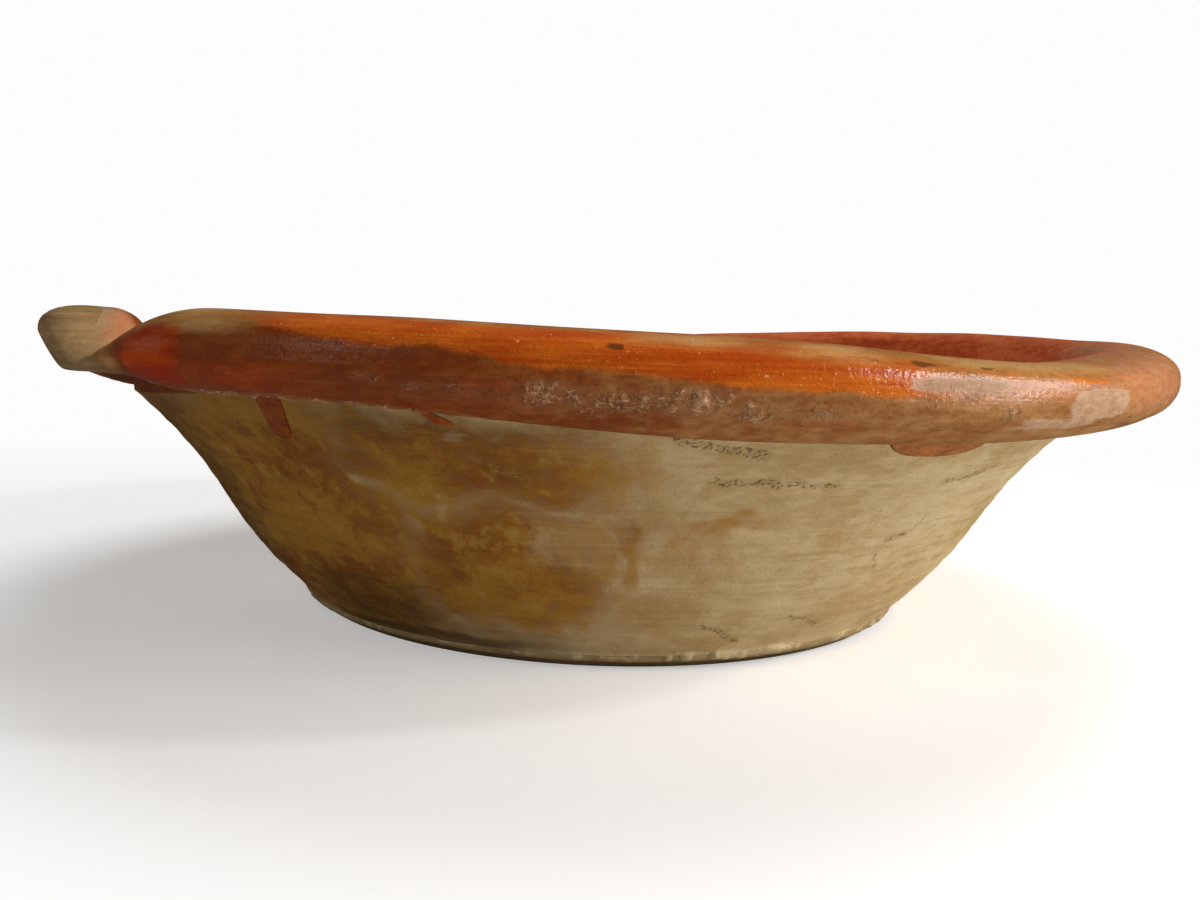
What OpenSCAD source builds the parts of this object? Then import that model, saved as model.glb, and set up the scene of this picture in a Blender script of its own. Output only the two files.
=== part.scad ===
// Cheese draining bowl: a thrown earthenware bowl with a flared bare wall, a heavy rolled rim,
// one pinched pouring lip and a glaze coat inside, over the rim and in runs down the outside.
// Millimetres, +Z up. The origin is the centre of the base's underside. The lip points along -X.

/* [Base] */
// Radius of the base slab, at the burr where the wall starts
base_r = 129; // [105:1:140]
// Height of the slab's visible edge
edge_h = 5; // [4:0.5:8]
// How far the wire's undercut draws the edge in at the table
undercut = 4; // [1:0.5:7]
// Height of the undercut bevel
undercut_h = 3; // [1:0.5:3]
// Thickness of the floor
floor_t = 13; // [9:0.5:18]

/* [Wall] */
// Outer radius of the wall under the rim collar
wall_top_r = 191; // [175:1:196]
// Height of the wall's top land, where the collar sits
seat_z = 84.5; // [74:0.5:88]
// Thickness of the wall, measured level
wall_t = 12; // [9:0.5:14]
// How far the wall swells out low down and draws in under the collar
wall_swell = 2.5; // [0:0.25:4]
// Height of the cove between the floor and the wall
cove_h = 16; // [8:1:24]

/* [Collar] */
// Outer radius of the collar
rim_r = 220; // [210:1:235]
// Height of the collar's top above the table
bowl_h = 110; // [105:1:118]
// How far below the top the collar is widest
crown_h = 10; // [7:0.5:12]
// Depth of the collar's roll, from its widest ring in to its middle
roll_w = 15; // [11:0.5:18]
// How far the roll hangs below its widest ring
roll_drop = 15; // [10:0.5:16]

/* [Pouring lip] */
// Angle on the rim from the lip's middle to each finger-pressed throat
throat_angle = 11.5; // [9:0.5:14]
// How far each throat is pressed in towards the bowl's middle
throat_depth = 4; // [0:0.5:10]
// How far each throat is pressed down, as a share of the collar's height there
throat_dip = 0.5; // [0.25:0.01:0.6]
// Angle over which a throat rises to the lip
throat_in = 11.5; // [8:0.5:13]
// Angle over which a throat runs out into the collar
throat_out = 16.5; // [12:0.5:20]
// How far the lip is drawn up between the throats
lip_rise = 4.5; // [1:0.5:6]
// How far the underside is drawn up under the lip and its throats
lip_lift = 12; // [4:0.5:14]
// Depth of the pouring channel across the lip
channel_depth = 1.5; // [0.5:0.5:3]
// Half angle of the pouring channel
channel_angle = 4.5; // [3:0.5:6]

/* [Glaze] */
// Thickness of the glaze coats
glaze_t = 0.6; // [0.4:0.1:1]
// Where the coat ends on the collar's outer face, as an angle below its widest ring
hem_angle = 40; // [20:1:60]
// Clearance under the coat on the hand-pinched lip and under the runs
coat_gap = 0.3; // [0.25:0.05:0.5]

/* [Runs on the wall] */
// Thickness of the runs
run_t = 1.2; // [0.8:0.1:2]
// How far the long drip reaches down
drip_drop = 9.5; // [6:0.5:24]
// Width of the long drip at the collar
drip_w = 4; // [3:0.5:8]
// Width of the long drip's bead
drip_bead_w = 5.5; // [3:0.5:9]
// How far the small tear reaches down
tear_drop = 3; // [2:0.5:8]
// Width of the small tear at the collar
tear_w = 3; // [2:0.5:6]
// Width of the small tear's bead
tear_bead_w = 4; // [2:0.5:6]
// How far the broad apron reaches down
apron_drop = 10; // [5:0.5:14]
// Width of the broad apron at the collar
apron_w = 46; // [30:1:60]
// Width of the broad apron low down
apron_low_w = 26; // [16:1:40]

/* [Hidden] */
$fn = 180;

clay = "#b08a55";
bare_lip = "#a8987a";
glaze = "#a8481c";
glaze_drip = "#97451f";

roll_r = rim_r - roll_w;
roll_z = bowl_h - crown_h;
lip_half = throat_angle + throat_out;
lip_steps = 56;
wall_steps = 12;
cove_steps = 6;
roll_steps = 20;
// the roll is fuller above its widest ring than below it
crown_power = 2 / 2.4;
drop_power = 2 / 1.8;
// the roll leaves the inner slope at this angle, and ends under its middle
roll_start = 148;
under_angle = 112;
// limit on how far a sharp corner moves when a path is moved sideways
miter_limit = 2;

// Points are [radius, height] pairs. Every profile runs from the inside over the rim to the outside.

function lean(v, power) = sign(v) * pow(abs(v), power);

// Outer radius of the wall at share t of its height: a straight flare plus one gentle S
function wall_r(t) = base_r + (wall_top_r - base_r) * t + wall_swell * sin(360 * t);
function wall_z(t) = edge_h + (seat_z - edge_h) * t;
function wall_share(z) = (z - edge_h) / (seat_z - edge_h);

outer_wall = [for (i = [0 : wall_steps]) [wall_r(i / wall_steps), wall_z(i / wall_steps)]];

// The inner face is the outer one moved in by the wall's thickness, down to the top of the cove
cove_top_z = floor_t + cove_h;
cove_share = wall_share(cove_top_z);
inner_wall = [for (i = [0 : wall_steps])
    let (t = cove_share + (1 - cove_share) * i / wall_steps) [wall_r(t) - wall_t, wall_z(t)]];
// The cove rounds the knee where the wall's slope would meet the floor, with legs of one length
cove_top = inner_wall[0];
knee = [cove_top[0] - cove_h * (wall_top_r - base_r) / (seat_z - edge_h), floor_t];
floor_edge = [knee[0] - norm(cove_top - knee), floor_t];
cove = [for (i = [0 : cove_steps - 1]) let (t = i / cove_steps)
    pow(1 - t, 2) * floor_edge + 2 * t * (1 - t) * knee + t * t * cove_top];
inside_path = concat([[0, floor_t]], cove, inner_wall);

// The collar's roll: the upper and lower halves are two rounded ovals that share the widest ring
function roll_point(a) = [
    roll_r + roll_w * lean(cos(a), a > 0 ? crown_power : drop_power),
    roll_z + (a > 0 ? crown_h : roll_drop) * lean(sin(a), a > 0 ? crown_power : drop_power)];
function roll_arc(from, to) = [for (i = [0 : roll_steps]) roll_point(from + (to - from) * i / roll_steps)];
// The underside comes in no further than the wall that it sits on
wall_lean = lean((wall_top_r - roll_r) / roll_w, 1 / drop_power);
roll_end = -min(under_angle, acos(max(-1, wall_lean)));

seat_inner = [wall_top_r - wall_t, seat_z];
seat_outer = [wall_top_r, seat_z];
// The inner slope from the seat up to the roll, in equal steps
roll_foot = roll_point(roll_start);
function slope(steps) = [for (i = [0 : steps - 1]) seat_inner + (roll_foot - seat_inner) * i / steps];
function collar_path(steps) = concat(slope(steps), roll_arc(roll_start, roll_end), [seat_outer]);
function coat_path(steps) = concat(slope(steps), roll_arc(roll_start, -hem_angle));

// A path moved sideways by d: each point goes along the mean normal of its two legs
function unit(v) = v / norm(v);
function left_of(v) = [-v[1], v[0]];
function shifted(path, d) = [for (i = [0 : len(path) - 1])
    let (before = i > 0 ? unit(path[i] - path[i - 1]) : unit(path[1] - path[0]),
         after = i < len(path) - 1 ? unit(path[i + 1] - path[i]) : before,
         n = unit(left_of(before) + left_of(after)))
    path[i] + d * n * min(miter_limit, 1 / (n * left_of(before)))];
function reversed(path) = [for (i = [len(path) - 1 : -1 : 0]) path[i]];
// A path with the height of its point k set to z
function levelled(path, k, z) = [for (i = [0 : len(path) - 1]) i == k ? [path[i][0], z] : path[i]];

// The pouring lip: the collar's own profile, pressed down by two fingers and drawn up between them
function swell(x) = abs(x) < 1 ? pow(cos(90 * x), 2) : 0;
function throat(a) = let (d = abs(a) - throat_angle) swell(d < 0 ? d / throat_in : d / throat_out);
function channel(a) = swell(a / channel_angle);
function ease(x) = let (s = min(1, max(0, x))) s * s * (3 - 2 * s);
// The tongue between the throats, and the whole stretch whose underside is drawn up
function tongue(a) = ease((throat_angle - abs(a)) / throat_in);
function drawn(a) = ease((lip_half - abs(a)) / throat_out);
// How far a point follows the fingers: not at all at the seat, fully on the roll
function give(p) = ease((p[1] - seat_z) / (roll_z - seat_z));
// How far a point belongs to the crest, or to the outer underside
function crest(p) = max(0, (p[1] - roll_z) / crown_h);
function under(p) = p[0] > wall_top_r ? max(0, (roll_z - p[1]) / roll_drop) : 0;
// A throat squashes the whole section, with its raised underside, towards its seat; the channel
// only lowers the crest
function squash(a) = 1 - throat_dip * throat(a);
function pinched(p, a) = [
    p[0] - throat_depth * throat(a) * give(p),
    seat_z + (p[1] - seat_z + lip_lift * drawn(a) * under(p)) * squash(a)
        + lip_rise * tongue(a) * give(p) - channel_depth * channel(a) * crest(p)];
lip_slope_steps = 6;
function lip_section(path, a) = [for (p = path) pinched(p, a)];
function around(p, a) = [-p[0] * cos(a), -p[0] * sin(a), p[1]];
lip_angles = [for (i = [0 : lip_steps]) lip_half * (2 * i / lip_steps - 1)];

// A solid through closed sections with equally many points, capped at both ends
module loft(sections) {
    n = len(sections[0]);
    m = len(sections);
    points = [for (s = sections) each s];
    sides = [for (j = [0 : m - 2], i = [0 : n - 1], half = [0, 1])
        let (a = j * n + i, b = j * n + (i + 1) % n)
        half == 0 ? [a, b, b + n] : [a, b + n, a + n]];
    caps = [[for (i = [n - 1 : -1 : 0]) i], [for (i = [0 : n - 1]) (m - 1) * n + i]];
    polyhedron(points, concat(sides, caps), convexity = 6);
}

// The point at a fractional index of a path
function along(path, x) =
    let (i = min(floor(x), len(path) - 2))
    path[i] + (x - i) * (path[i + 1] - path[i]);

// The coat on the lip reaches down the outside only past the throats; between them it stops on
// the crest. Points past the hem are gathered into the last step before it, so that the others
// stay over the lip's own points.
crest_hem = 0.66;
function lip_hem(a) =
    crest_hem + (1 - crest_hem) * ease(1 + 2 * (abs(a) - throat_angle) / throat_in);
function gathered(i, hem, last) = i < hem - 1 ? i : hem - 1 + (i - hem + 1) / (last - hem + 1);
function lip_coat(a, d) =
    let (path = levelled(shifted(lip_section(coat_path(lip_slope_steps), a), d), 0, seat_z),
         last = len(path) - 1)
    [for (i = [0 : last]) along(path, gathered(i, last * lip_hem(a), last))];

// The disc that the wire cut from the wheel, with the shoulder on which the wall was drawn up
module base_slab() {
    color(clay) rotate_extrude()
        polygon([[0, 0], [base_r - undercut, 0], [base_r, undercut_h], [base_r, edge_h],
                 floor_edge, [0, floor_t]]);
}

// The thrown wall: scarfed onto the slab's shoulder, coved inside, with a flat land on top
module flared_wall() {
    color(clay) rotate_extrude()
        polygon(concat(outer_wall, reversed(inner_wall), reversed(cove)));
}

// The rolled band, from one side of the lip round to the other
module rim_collar() {
    color(clay) rotate([0, 0, 180 + lip_half])
        rotate_extrude(angle = 360 - 2 * lip_half) polygon(collar_path(1));
}

module pouring_lip() {
    path = collar_path(lip_slope_steps);
    color(bare_lip) loft([for (a = lip_angles) [for (p = lip_section(path, a)) around(p, a)]]);
}

module inside_glaze() {
    coat = shifted(inside_path, glaze_t);
    color(glaze) rotate_extrude()
        polygon(concat(inside_path, reversed(levelled(coat, len(coat) - 1, seat_z))));
}

module collar_glaze() {
    path = coat_path(1);
    color(glaze) rotate([0, 0, 180 + lip_half]) rotate_extrude(angle = 360 - 2 * lip_half)
        polygon(concat(path, reversed(levelled(shifted(path, glaze_t), 0, seat_z))));
}

module lip_glaze() {
    color(glaze) loft([for (a = lip_angles)
        [for (p = concat(lip_coat(a, coat_gap + glaze_t), reversed(lip_coat(a, coat_gap)))) around(p, a)]]);
}

// Runs: [bearing round the rim from the lip, drop in height, width at the collar, width low down]
runs = [[28, drip_drop, drip_w, drip_bead_w], [44.5, tear_drop, tear_w, tear_bead_w],
        [89, apron_drop, apron_w, apron_low_w]];
run_rows = 12;
run_columns = 8;
// the tip is cut just short of a point, and the edges keep a share of the thickness
run_tip = 0.97;
run_edge = 0.3;

// A point of a run: v is the share of its drop, x runs from -1 to 1 across it, and lift is its
// height off the wall. The width closes to a round tip.
tip_power = 5;
function run_width(r, v) = (r[2] + (r[3] - r[2]) * v) * sqrt(1 - pow(v, tip_power));
function run_point(r, v, x, lift) =
    let (z = seat_z - coat_gap - r[1] * v, radius = wall_r(wall_share(z)) + lift,
         turn = x * run_width(r, v) / 2 / radius * 180 / PI)
    around([radius, z], r[0] + turn);
function run_lift(x) = coat_gap + run_t * (run_edge + (1 - run_edge) * sqrt(max(0, 1 - x * x)));
run_across = [for (i = [0 : run_columns]) 1 - 2 * i / run_columns];

module glaze_runs() {
    color(glaze_drip) for (r = runs)
        loft([for (j = [0 : run_rows]) let (v = run_tip * j / run_rows)
            concat([for (x = run_across) run_point(r, v, x, run_lift(x))],
                   [for (x = run_across) run_point(r, v, -x, coat_gap)])]);
}

base_slab();
flared_wall();
rim_collar();
pouring_lip();
inside_glaze();
collar_glaze();
lip_glaze();
glaze_runs();
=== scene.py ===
import bpy
import numpy as np
from mathutils import Matrix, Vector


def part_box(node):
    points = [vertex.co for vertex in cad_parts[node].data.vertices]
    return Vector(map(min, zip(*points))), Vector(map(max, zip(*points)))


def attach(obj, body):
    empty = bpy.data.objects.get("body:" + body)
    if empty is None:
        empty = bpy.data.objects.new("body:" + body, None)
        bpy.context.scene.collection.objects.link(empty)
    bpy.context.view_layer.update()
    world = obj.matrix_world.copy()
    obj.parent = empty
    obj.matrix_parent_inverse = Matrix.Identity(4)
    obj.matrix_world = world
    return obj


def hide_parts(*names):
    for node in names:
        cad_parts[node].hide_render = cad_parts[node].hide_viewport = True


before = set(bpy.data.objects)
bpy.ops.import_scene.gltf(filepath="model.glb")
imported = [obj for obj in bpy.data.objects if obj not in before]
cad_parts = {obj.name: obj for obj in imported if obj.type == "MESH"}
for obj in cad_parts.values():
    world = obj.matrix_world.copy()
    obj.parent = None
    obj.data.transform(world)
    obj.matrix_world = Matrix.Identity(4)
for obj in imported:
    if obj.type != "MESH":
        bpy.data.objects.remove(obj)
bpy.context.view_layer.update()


# Base slab
# The disc of buff earthenware on which the bowl was thrown, cut from the wheel with a wire. The wire
# left a thin dark undercut and dragged a pale burr of clay out over it. The wall is scarfed onto it.

mm = 0.001
base_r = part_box("base_slab")[1].y / mm
floor_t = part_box("base_slab")[1].z / mm
edge_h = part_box("flared_wall")[0].z / mm
seat_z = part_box("flared_wall")[1].z / mm
wall_top_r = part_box("flared_wall")[1].y / mm
rim_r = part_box("rim_collar")[1].y / mm
bowl_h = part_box("rim_collar")[1].z / mm
crown_h = 10.0
roll_z = bowl_h - crown_h
undercut = 4.0
undercut_h = 3.0
burr_out = 0.95
burr_z = 4.8
burr_h = 1.8
# the burr's lumps: noise size, seed, level above which it shows, share
burr_even = 0.55
burr_lumps = [(11.0, 3, 0.0, 1.0), (4.6, 4, 0.15, 1.5), (2.4, 5, 0.3, 1.6)]
# where the wire dragged more clay: bearing from the lip, reach in degrees, gain
burr_least = 0.9
burr_drags = [(80.0, 18.0, 1.1), (250.0, 60.0, 0.8)]
# the rim dried out of level: bearing from the lip, reach in degrees, lift
warps = [(187.0, 85.0, 11.0), (78.0, 60.0, -3.6), (-35.0, 50.0, -5.4)]
# in two places the wall was drawn higher, and the seam under the collar climbs with it
climbs = [(36.0, 34.0, 4.2), (118.0, 34.0, 2.3)]
# on the right the crown was patted flatter than elsewhere
flats = [(92.0, 26.0, 3.6)]
# the side on which the marks are finest, where the columns of every mesh lie closest
fine_bearing = 60.0
fine_spread = 42.0
fine_gain = 2.6
spacing_steps = 4000


def grain(points, size, seed):
    """Smooth noise from -1 to 1: hashed values on a cubic lattice of that size, blended by a cubic ease."""
    scaled = points / size
    cell = np.floor(scaled).astype(np.int64)
    share = scaled - cell
    share = share * share * (3 - 2 * share)
    total = np.zeros(points.shape[:-1])
    for corner in np.ndindex(2, 2, 2):
        key = (cell + corner) * np.array([73856093, 19349663, 83492791])
        code = (key[..., 0] ^ key[..., 1] ^ key[..., 2] ^ (seed * 2654435761)) & 0x7FFFFFFF
        code = ((code ^ (code >> 13)) * 1274126177) & 0x7FFFFFFF
        weight = np.where(corner, share, 1 - share).prod(axis=-1)
        total += weight * (code / 2.0**30 - 1)
    return total


def ease(x):
    """0 below 0, 1 above 1, and a cubic with level ends between them."""
    s = np.clip(x, 0, 1)
    return s * s * (3 - 2 * s)


def turned(bearing, middle):
    """The signed difference of two bearings, from -180 to 180 degrees."""
    return (bearing - middle + 180) % 360 - 180


def columns(count, first=0.0, last=360.0):
    """Bearings from first to last whose spacing shrinks near the fine side, as a bell curve says."""
    even = np.linspace(first, last, spacing_steps)
    density = 1 + fine_gain * np.exp(-(turned(even, fine_bearing) / fine_spread) ** 2)
    share = np.concatenate([[0], np.cumsum((density[1:] + density[:-1]) / 2)])
    return np.interp(np.linspace(0, share[-1], count), share, even)


def swell(x):
    """A squared cosine, 1 in the middle and 0 from 1 outwards."""
    return np.cos(np.pi / 2 * np.clip(x, -1, 1)) ** 2


def settle(radius, bearing, height):
    """Points in metres at a radius, bearing from the lip and height in millimetres, on the warped bowl.

    The seam's climb is greatest at the seat and dies out down to the slab and up to the collar's widest
    ring, and moves the clay out along the wall's slope. A flat lowers the crown alone. The warp grows
    with height and radius.
    """
    below, above = (height - edge_h) / (seat_z - edge_h), (roll_z - height) / (roll_z - seat_z)
    climb = sum(lift * swell(turned(bearing, middle) / reach) for middle, reach, lift in climbs)
    rise = climb * np.clip(np.minimum(below, above), 0, 1)
    out = radius + rise * (wall_top_r - base_r) / (seat_z - edge_h)
    crown = np.maximum(0, (height - roll_z) / crown_h)
    patted = sum(drop * swell(turned(bearing, middle) / reach) for middle, reach, drop in flats)
    up = height + rise - crown * patted
    warp = sum(lift * swell(turned(bearing, middle) / reach) for middle, reach, lift in warps)
    lifted = up + up / bowl_h * out / rim_r * warp
    turn = np.radians(bearing)
    return mm * np.stack(np.broadcast_arrays(-out * np.cos(turn), -out * np.sin(turn), lifted), -1)


def level(radius, bearing, height):
    """Unwarped points in millimetres, as places for noise."""
    turn = np.radians(bearing)
    return np.stack(np.broadcast_arrays(-radius * np.cos(turn), -radius * np.sin(turn), height), -1)


def skin(name, grid, marks, material, closed=True, ring=True):
    """A mesh over a grid of points: rows run clockwise round the section, columns round the bowl.

    A closed section joins its last row to its first, and an open one ends in poles on the axis. A full
    ring joins its last column to its first, and a part ring ends in flat caps. Marks are named arrays
    of one value for each grid point.
    """
    rows, count = grid.shape[:2]
    index = np.arange(rows * count).reshape(rows, count)
    points = [grid.reshape(-1, 3)]
    index = np.vstack([index, index[:1]]) if closed else index
    index = np.hstack([index, index[:, :1]]) if ring else index
    quads = np.stack([index[:-1, :-1], index[1:, :-1], index[1:, 1:], index[:-1, 1:]], -1)
    faces = quads.reshape(-1, 4).tolist()
    top = rows * count
    if not closed:
        points.append(grid[[0, -1]].mean(axis=1))
        edge = np.full(index.shape[1] - 1, top)
        faces += np.stack([edge, index[0, :-1], index[0, 1:]], -1).tolist()
        faces += np.stack([edge + 1, index[-1, 1:], index[-1, :-1]], -1).tolist()
    if not ring:
        points += [grid[:, 0], grid[:, -1]]
        faces += [list(range(top + rows - 1, top - 1, -1)), list(range(top + rows, top + 2 * rows))]
    points = np.concatenate(points)
    mesh = bpy.data.meshes.new(name)
    mesh.from_pydata(points.tolist(), [], faces)
    mesh.shade_smooth()
    for mark, values in marks.items():
        padded = np.zeros(len(points), np.float32)
        padded[:top] = np.broadcast_to(values, (rows, count)).ravel()
        mesh.attributes.new(mark, "FLOAT", "POINT").data.foreach_set("value", padded)
    mesh.materials.append(material)
    piece = bpy.data.objects.new(name, mesh)
    bpy.context.scene.collection.objects.link(piece)
    return piece


def burr(bearing, height):
    """How far the dragged burr stands out, in millimetres: a bell in height, lumpy round the edge."""
    place = level(base_r, bearing, height)
    lumps = burr_even
    for size, seed, least, share in burr_lumps:
        lumps = lumps + share * np.maximum(0, grain(place, size, seed) - least)
    heavy = burr_least
    for middle, reach, gain in burr_drags:
        heavy = heavy + gain * swell(turned(bearing, middle) / reach)
    return burr_out * lumps * heavy * np.exp(-(((height - burr_z) / burr_h) ** 2))


class Field:
    """A value that varies over a surface: one socket of a material. Arithmetic on it adds Math nodes."""

    def __init__(self, tree, socket=None):
        self.tree = tree
        self.socket = socket

    def feed(self, socket, value):
        """Links a field to a socket, or sets a plain value on it."""
        if isinstance(value, Field):
            self.tree.links.new(value.socket, socket)
        else:
            socket.default_value = value

    def node(self, kind, settings, inputs, output=0):
        """Any node: its type, its settings, which are set first, and the values or links of its sockets."""
        made = self.tree.nodes.new("ShaderNode" + kind)
        for key, value in settings.items():
            setattr(made, key, value)
        for key, value in inputs.items():
            self.feed(made.inputs[key], value)
        return Field(self.tree, made.outputs[output])

    def math(self, operation, *values):
        """One Math node of that operation on fields or plain values."""
        return self.node("Math", {"operation": operation}, dict(enumerate(values)))

    def __add__(self, other):
        return self.math("ADD", self, other)

    __radd__ = __add__

    def __sub__(self, other):
        return self.math("SUBTRACT", self, other)

    def __rsub__(self, other):
        return self.math("SUBTRACT", other, self)

    def __mul__(self, other):
        return self.math("MULTIPLY", self, other)

    __rmul__ = __mul__

    def step(self, low, high):
        """0 below low, 1 above high and a smooth step between."""
        settings = {"interpolation_type": "SMOOTHSTEP"}
        return self.node("MapRange", settings, {"Value": self, "From Min": low, "From Max": high})

    def tint(self, under, over):
        """The colour under where this is 0, over where it is 1."""
        return self.node("Mix", {"data_type": "RGBA"}, {0: self, 6: under, 7: over}, 2)

    def noise(self, across, along=None, detail=2.0, rough=0.5):
        """Noise on these coordinates with grains that many millimetres across, and along the axis."""
        flat, tall = 1 / (across * mm), 1 / ((along or across) * mm)
        scaled = self.node("VectorMath", {"operation": "MULTIPLY"}, {0: self, 1: (flat, flat, tall)})
        inputs = {"Vector": scaled, "Scale": 1.0, "Detail": detail, "Roughness": rough}
        return self.node("TexNoise", {}, inputs)

    def cells(self, across):
        """The distance to the nearest of many scattered points, 0 at the point, for cells of that size."""
        inputs = {"Vector": self, "Scale": 1 / (across * mm), "Randomness": 1.0}
        return self.node("TexVoronoi", {"feature": "F1"}, inputs)

    def mark(self, name):
        """The piece's own attribute of that name."""
        return self.node("Attribute", {"attribute_name": name}, {}, "Fac")

    def bump(self, height, below=None):
        """A normal that stands this field up by so many millimetres, over another bump."""
        inputs = {"Height": self, "Distance": height * mm, "Strength": 1.0}
        if below is not None:
            inputs["Normal"] = below
        return self.node("Bump", {}, inputs)


def paint(code):
    """A colour socket's value for a six-digit colour code."""
    shares = [int(code[i : i + 2], 16) / 255 for i in (0, 2, 4)]
    return tuple(s / 12.92 if s < 0.04045 else ((s + 0.055) / 1.055) ** 2.4 for s in shares) + (1.0,)


def finish(name):
    """A new material, its shader and the piece's own coordinates as a field."""
    material = bpy.data.materials.new(name)
    material.use_nodes = True
    tree = material.node_tree
    place = Field(tree).node("TexCoord", {}, {}, "Object")
    return material, tree.nodes["Principled BSDF"], place


def buff_clay(name):
    """Bare buff clay: level wheel streaks, orange staining and olive soiling that are partly painted shade,
    pale bloom, pits.
    """
    material, shader, place = finish(name)
    stain_and_shade, soil_and_shade, bloom = place.mark("stain_and_shade"), place.mark("soil_and_shade"), place.mark("bloom")
    pitted, burred = place.mark("pitted"), place.mark("burred")
    cloud = place.noise(34, 18, 4, 0.6)
    mottle = place.noise(8, 3.4, 4, 0.65)
    streak = place.noise(70, 1.5, 3, 0.7)
    thread = place.noise(30, 0.45, 2)
    speck = place.noise(0.9, 0.7, 1)
    smear = place.noise(7, 11, 5, 0.7)
    colour = (cloud * 0.55 + mottle * 0.45).step(0.36, 0.66).tint(paint("B0925F"), paint("C8B084"))
    colour = (streak.step(0.54, 0.78) * 0.3).tint(colour, paint("DCC79A"))
    colour = ((1 - streak.step(0.22, 0.44)) * 0.3).tint(colour, paint("80602F"))
    colour = (thread.step(0.62, 0.8) * 0.2).tint(colour, paint("E3D2A8"))
    # the stain's colour, which on the side by the lip is partly painted shade
    stained_and_shaded = (stain_and_shade + (smear - 0.5) * 0.9 + (mottle - 0.5) * 0.4 + (cloud - 0.5) * 0.5).step(0.16, 0.8)
    ochre = (cloud * 0.5 + smear * 0.5).step(0.4, 0.58).tint(paint("85480A"), paint("A27018"))
    ochre = (smear.step(0.54, 0.68) * 0.5).tint(ochre, paint("B08E42"))
    ochre = ((1 - smear.step(0.34, 0.46)) * 0.45).tint(ochre, paint("6E3E0A"))
    ochre = (streak.step(0.5, 0.75) * 0.2).tint(ochre, paint("A98434"))
    colour = (stained_and_shaded * 0.94).tint(colour, ochre)
    # the soil's colour, which on the side by the lip is partly painted shade
    soiled_and_shaded = (soil_and_shade + (mottle - 0.5) * 0.5 + (cloud - 0.5) * 0.4).step(0.15, 0.95)
    colour = (soiled_and_shaded * 0.85).tint(colour, paint("503A12"))
    bloomed = (bloom + (smear - 0.5) * 0.8 + (streak - 0.5) * 0.4 + (mottle - 0.5) * 0.5).step(0.3, 0.85)
    colour = (bloomed * 0.48).tint(colour, paint("C9B78F"))
    colour = (speck.step(0.66, 0.74) * 0.3).tint(colour, paint("5B421F"))
    pit = (place.noise(1.1, 0.9, 3, 0.65) + (pitted - 1) * 0.45).step(0.53, 0.63)
    colour = (pitted * 0.3).tint(colour, paint("A88A52"))
    colour = (pit * 0.5).tint(colour, paint("7A582C"))
    colour = (burred * 0.5).tint(colour, paint("DCC8A0"))
    rough = 0.6 + (mottle - 0.5) * 0.25
    ridges = thread.bump(0.16, streak.bump(0.3, mottle.bump(0.3)))
    normal = (0 - pit).bump(0.7, speck.bump(0.12, smear.bump(0.25, ridges)))
    shader.inputs["Specular IOR Level"].default_value = 0.1
    for socket, value in {"Base Color": colour, "Roughness": rough, "Normal": normal}.items():
        place.feed(shader.inputs[socket], value)
    return material


slab_bearings = columns(700)[:-1]
floor_edge_r = 105.0
pole_r = 2.0
nick_depth = 0.35
# soil lies all over the slab, and the undercut is darker still
slab_soil = 0.6
undercut_darkening = 0.8
darkening_top = 2.8
# the burr's clay is paler from this height, where it stands out this far
pale_z = 2.4
pale_over = 1.6
pale_out = 0.3
slab_path = np.concatenate(
    [
        np.stack([np.linspace(pole_r, floor_edge_r, 4), np.full(4, floor_t)], -1),
        np.linspace([floor_edge_r, floor_t], [base_r, edge_h], 4)[1:],
        np.linspace([base_r, edge_h], [base_r, undercut_h], 8)[1:],
        np.linspace([base_r, undercut_h], [base_r - undercut, 0], 7)[1:],
        np.stack([np.linspace(base_r - undercut, pole_r, 24)[1:], np.zeros(23)], -1),
    ]
)
slab_radius, slab_height = slab_path[:, :1], slab_path[:, 1:]
on_edge = slab_radius > base_r - undercut + 0.1
slab_out = on_edge * burr(slab_bearings, slab_height) * ease(slab_height / undercut_h)
nicks = on_edge * nick_depth * grain(level(slab_radius, slab_bearings, slab_height), 6.0, 8)
slab_marks = {
    "burred": on_edge * ease((slab_height - pale_z) / pale_over) * ease(slab_out - pale_out),
    "soil_and_shade": slab_soil + undercut_darkening * (slab_height < darkening_top),
    "stain_and_shade": 0.2,
    "bloom": 0.0,
    "pitted": 0.0,
}
clay_finish = buff_clay("bare_clay")
slab = skin(
    "base_slab_cut",
    settle(slab_radius + slab_out + nicks, slab_bearings, slab_height),
    slab_marks,
    clay_finish,
    closed=False,
)
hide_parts("base_slab")
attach(slab, "root")


# Flared wall
# The thrown wall of bare buff clay, drawn up and out from the slab between the fingers. Level throwing
# lines run round it, and long use has stained, soiled and pitted it. On the side by the lip the stains and
# soil are partly painted shade.

wall_t = 12.0
wall_swell = 2.5
cove_top_z = 29.0
wall_rows = 126
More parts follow.
